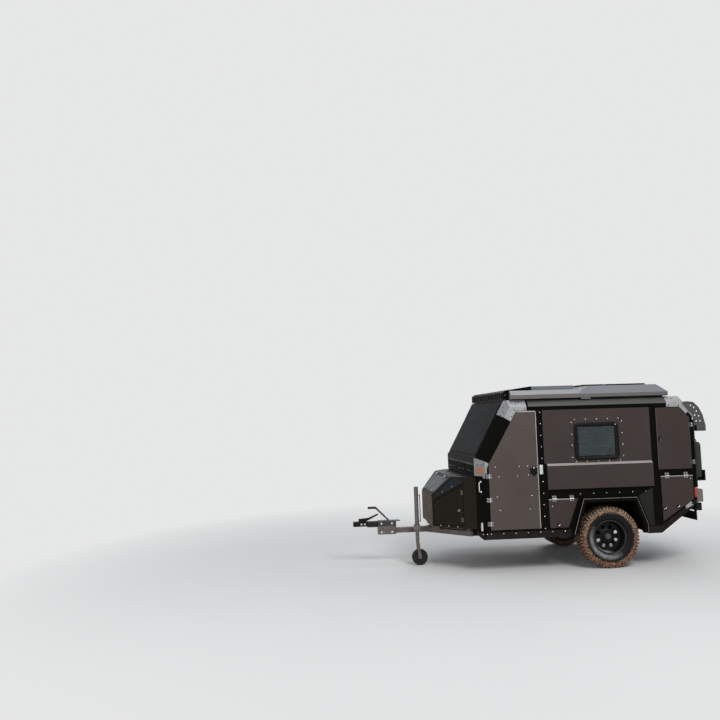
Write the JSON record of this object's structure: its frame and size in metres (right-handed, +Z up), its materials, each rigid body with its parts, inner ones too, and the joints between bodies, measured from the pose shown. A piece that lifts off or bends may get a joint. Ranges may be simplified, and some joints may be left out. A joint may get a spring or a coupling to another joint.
{
  "type": "off-road camper trailer",
  "caption": "Boxy off-road camper trailer on one axle, with side doors, hatches, a faceted nose box and a folding jockey wheel.",
  "frame": {"origin": "on the ground, at the middle of the overall length and width", "axes": "+X rearwards, +Y to the right-hand side, +Z up"},
  "size_m": [4.766, 2.12, 2.447],
  "materials": {
    "panel": "satin powder coat",
    "door_panel": "satin powder coat",
    "frame_black": "matte powder coat",
    "floor_board": "matte",
    "casting": "satin",
    "rail_grey": "satin",
    "steel_black": "semi-gloss",
    "galvanised": "dull zinc",
    "gloss_panel": "gloss",
    "rubber": "matte",
    "tyre": "muddy",
    "rim": "satin",
    "glass": "tinted",
    "window_frame": "matte",
    "nose": "satin",
    "solar": "gloss",
    "case_grey": "satin",
    "fitting": "polished",
    "lamp_amber": "gloss",
    "box_grey": "matte",
    "lamp_red": "gloss",
    "can": "matte"
  },
  "bodies": {
    "trailer": {"chassis": "steel_black", "drawbar": "galvanised", "overrun_housing": "galvanised", "coupling": "steel_black", "bellows": "rubber", "handbrake_lever": "steel_black", "jockey_tube": "galvanised", "side_wall_left": "frame_black", "side_wall_right": "frame_black", "roof": "frame_black", "rear_wall": "panel", "front_wall": "frame_black", "floor": "floor_board", "wheel_arches": "frame_black", "partition": "floor_board", "side_panels": "panel", "window_frames": "window_frame", "window_panes": "glass", "fittings": "fitting", "marker_lamps": "lamp_amber", "lamp_boxes": "box_grey", "rear_brackets": "rail_grey", "roof_lid": "case_grey", "castings": "casting", "roof_rails": "rail_grey", "front_pane": "gloss_panel", "front_band": "frame_black", "swing_arms": "steel_black", "nose_box": "nose", "roof_cowl": "frame_black", "awning_case": "case_grey", "solar_panels": "solar", "tail_lamps": "lamp_red", "rear_carrier": "steel_black", "fuel_can": "can"},
    "entry_door_left": {"entry_door_left": "door_panel"},
    "rear_door_left": {"rear_door_left": "panel"},
    "front_hatch_left": {"front_hatch_left": "panel"},
    "rear_hatch_left": {"rear_hatch_left": "panel"},
    "nose_door_left": {"nose_door_left": "nose"},
    "wheel_left": {"tyre_left": "tyre", "rim_left": "rim"},
    "entry_door_right": {"entry_door_right": "door_panel"},
    "rear_door_right": {"rear_door_right": "panel"},
    "front_hatch_right": {"front_hatch_right": "panel"},
    "rear_hatch_right": {"rear_hatch_right": "panel"},
    "nose_door_right": {"nose_door_right": "nose"},
    "wheel_right": {"tyre_right": "tyre", "rim_right": "rim"},
    "nose_lid": {"nose_lid": "nose"},
    "jockey_leg": {"jockey_leg": "galvanised"},
    "jockey_fork": {"jockey_fork": "galvanised"},
    "jockey_wheel": {"jockey_wheel": "rubber"}
  },
  "joints": [
    {"name": "entry_door_left_hinge", "type": "hinge", "parent": "trailer", "child": "entry_door_left", "pos_m": [-0.64, -1.009, 1], "axis": [0, 0, -1], "range_deg": [0, 110]},
    {"name": "rear_door_left_hinge", "type": "hinge", "parent": "trailer", "child": "rear_door_left", "pos_m": [2.147, -1.009, 1.6], "axis": [0, 0, 1], "range_deg": [0, 110]},
    {"name": "front_hatch_left_hinge", "type": "hinge", "parent": "trailer", "child": "front_hatch_left", "pos_m": [0.348, -1.009, 0.935], "axis": [-1, 0, 0], "range_deg": [0, 95]},
    {"name": "rear_hatch_left_hinge", "type": "hinge", "parent": "trailer", "child": "rear_hatch_left", "pos_m": [1.92, -1.009, 1.185], "axis": [-1, 0, 0], "range_deg": [0, 95]},
    {"name": "nose_door_left_hinge", "type": "hinge", "parent": "trailer", "child": "nose_door_left", "pos_m": [-0.95919, -0.80026, 0.8], "axis": [0, 0, 1], "range_deg": [0, 110]},
    {"name": "wheel_left_spin", "type": "hinge", "parent": "trailer", "child": "wheel_left", "pos_m": [0.965, -0.866, 0.403], "axis": [0, 1, 0], "continuous": true},
    {"name": "entry_door_right_hinge", "type": "hinge", "parent": "trailer", "child": "entry_door_right", "pos_m": [-0.64, 1.009, 1], "axis": [0, 0, 1], "range_deg": [0, 110]},
    {"name": "rear_door_right_hinge", "type": "hinge", "parent": "trailer", "child": "rear_door_right", "pos_m": [2.147, 1.009, 1.6], "axis": [0, 0, -1], "range_deg": [0, 110]},
    {"name": "front_hatch_right_hinge", "type": "hinge", "parent": "trailer", "child": "front_hatch_right", "pos_m": [0.348, 1.009, 0.935], "axis": [1, 0, 0], "range_deg": [0, 95]},
    {"name": "rear_hatch_right_hinge", "type": "hinge", "parent": "trailer", "child": "rear_hatch_right", "pos_m": [1.92, 1.009, 1.185], "axis": [1, 0, 0], "range_deg": [0, 95]},
    {"name": "nose_door_right_hinge", "type": "hinge", "parent": "trailer", "child": "nose_door_right", "pos_m": [-0.95919, 0.80026, 0.8], "axis": [0, 0, -1], "range_deg": [0, 110]},
    {"name": "wheel_right_spin", "type": "hinge", "parent": "trailer", "child": "wheel_right", "pos_m": [0.965, 0.866, 0.403], "axis": [0, 1, 0], "continuous": true},
    {"name": "nose_lid_hinge", "type": "hinge", "parent": "trailer", "child": "nose_lid", "pos_m": [-1.09502, 0, 1.23027], "axis": [0, 1, 0], "range_deg": [0, 90]},
    {"name": "jockey_slide", "type": "slide", "parent": "trailer", "child": "jockey_leg", "axis": [0, 0, 1], "range_m": [0, 0.1]},
    {"name": "jockey_fold", "type": "hinge", "parent": "jockey_leg", "child": "jockey_fork", "pos_m": [-1.496, -0.2, 0.31], "axis": [0, 1, 0], "range_deg": [0, 95]},
    {"name": "jockey_spin", "type": "hinge", "parent": "jockey_fork", "child": "jockey_wheel", "pos_m": [-1.471, -0.2, 0.112], "axis": [0, 1, 0], "continuous": true}
  ]
}
